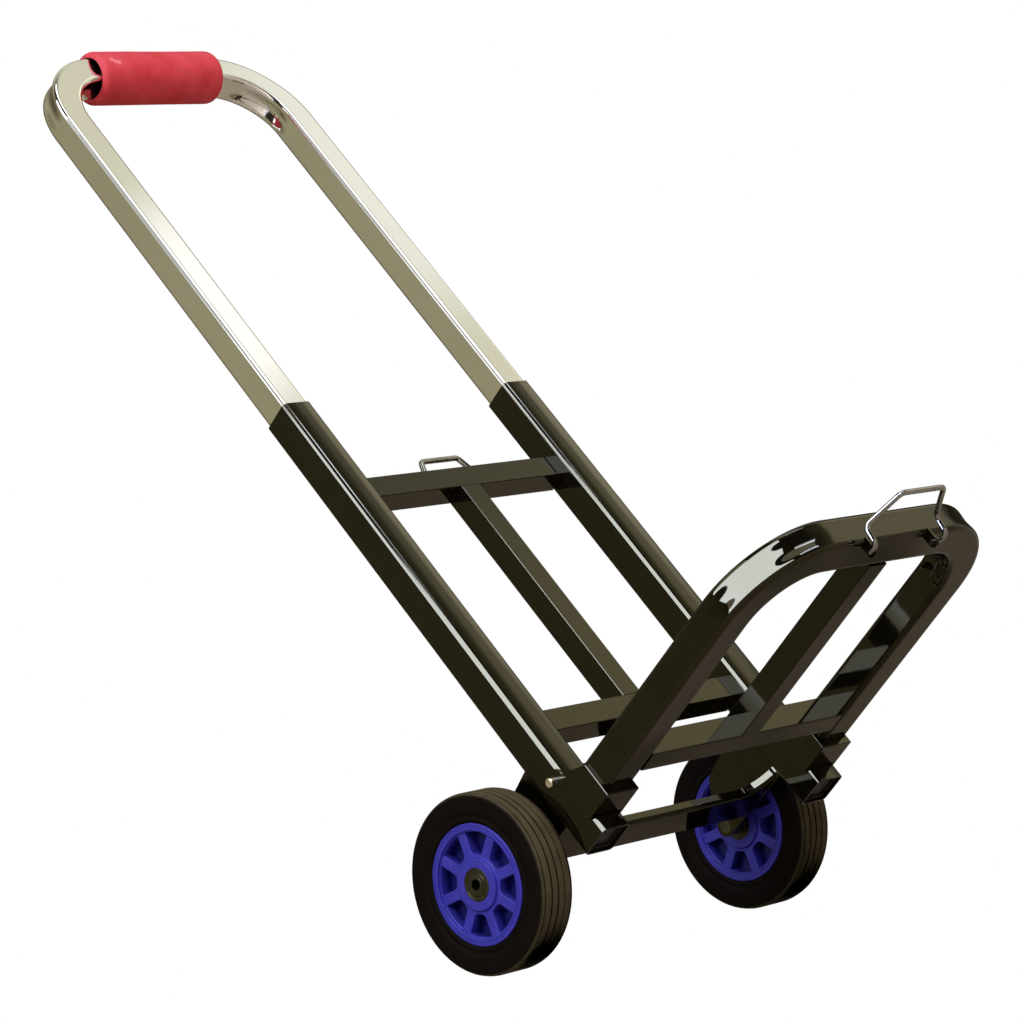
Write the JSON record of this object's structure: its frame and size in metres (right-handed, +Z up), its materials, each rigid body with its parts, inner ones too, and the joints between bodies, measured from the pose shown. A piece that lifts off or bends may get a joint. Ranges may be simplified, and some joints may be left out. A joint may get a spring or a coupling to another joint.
{
  "type": "folding hand truck",
  "caption": "Upright folding hand truck: telescoping bright handle with foam grip, square-tube frame, hinged load platform with wire bail, and solid-tyre wheels on stub axles.",
  "frame": {"origin": "middle of the footprint on the floor, under the truck standing upright on its wheels", "axes": "+Z up along the side tubes, -Y forwards along the platform, -X to the user's right hand"},
  "size_m": [0.3612, 0.5286, 0.97],
  "materials": {
    "black_paint": "high gloss black",
    "bright_chrome": "bright plated tube",
    "wire_chrome": "bright plated wire",
    "red_foam": "smooth skinned foam",
    "tyre_rubber": "matt rubber",
    "blue_plastic": "moulded satin",
    "bearing_steel": "ground steel",
    "pin_brass": "turned",
    "black_plastic": "moulded",
    "button_steel": "plated spring steel"
  },
  "bodies": {
    "frame": {"side_tube_right": "black_paint", "side_tube_left": "black_paint", "upper_crossbar": "black_paint", "lower_crossbar": "black_paint", "centre_bar": "black_paint", "cord_loop": "wire_chrome", "axle_bracket_right": "black_paint", "axle_bracket_left": "black_paint", "axle_cross_plate": "black_paint", "foot_plug_right": "black_plastic", "foot_plug_left": "black_plastic", "pivot_pin_right": "pin_brass", "pivot_pin_left": "pin_brass", "stub_axle_right": "bearing_steel", "stub_axle_left": "bearing_steel", "axle_spacers_right": "black_plastic", "axle_spacers_left": "black_plastic", "bearing_inner_rings_right": "bearing_steel", "bearing_inner_rings_left": "bearing_steel"},
    "handle": {"handle_tube": "bright_chrome", "grip": "red_foam", "handle_end_plug_right": "black_plastic", "handle_end_plug_left": "black_plastic", "button_spring_right": "button_steel", "button_spring_left": "button_steel"},
    "platform": {"platform_tube": "black_paint", "platform_crossbar": "black_paint", "platform_centre_bar": "black_paint", "hinge_saddle_right": "black_paint", "hinge_saddle_left": "black_paint", "bail_ears": "black_paint"},
    "bail": {"front_bail": "wire_chrome"},
    "wheel_right": {"tyre_right": "tyre_rubber", "hub_right": "blue_plastic", "bearing_outer_rings_right": "bearing_steel"},
    "button_right": {"snap_button_right": "button_steel"},
    "wheel_left": {"tyre_left": "tyre_rubber", "hub_left": "blue_plastic", "bearing_outer_rings_left": "bearing_steel"},
    "button_left": {"snap_button_left": "button_steel"}
  },
  "joints": [
    {"name": "handle_slide", "type": "slide", "parent": "frame", "child": "handle", "axis": [0, 0, 1], "range_m": [-0.31, 0]},
    {"name": "platform_fold", "type": "hinge", "parent": "frame", "child": "platform", "pos_m": [0, 0.07992, 0.08505], "axis": [-1, 0, 0], "range_deg": [0, 90]},
    {"name": "bail_swing", "type": "hinge", "parent": "platform", "child": "bail", "pos_m": [0, -0.21507, 0.03915], "axis": [1, 0, 0], "range_deg": [0, 150]},
    {"name": "wheel_spin_right", "type": "hinge", "parent": "frame", "child": "wheel_right", "pos_m": [-0.1626, 0.18932, 0.075], "axis": [1, 0, 0], "continuous": true},
    {"name": "wheel_spin_left", "type": "hinge", "parent": "frame", "child": "wheel_left", "pos_m": [0.1626, 0.18932, 0.075], "axis": [1, 0, 0], "continuous": true},
    {"name": "button_press_right", "type": "slide", "parent": "handle", "child": "button_right", "axis": [0, 1, 0], "range_m": [0, 0.004], "stiffness_N_per_m": 400, "springref_m": 0.004},
    {"name": "button_press_left", "type": "slide", "parent": "handle", "child": "button_left", "axis": [0, 1, 0], "range_m": [0, 0.004], "stiffness_N_per_m": 400, "springref_m": 0.004}
  ]
}
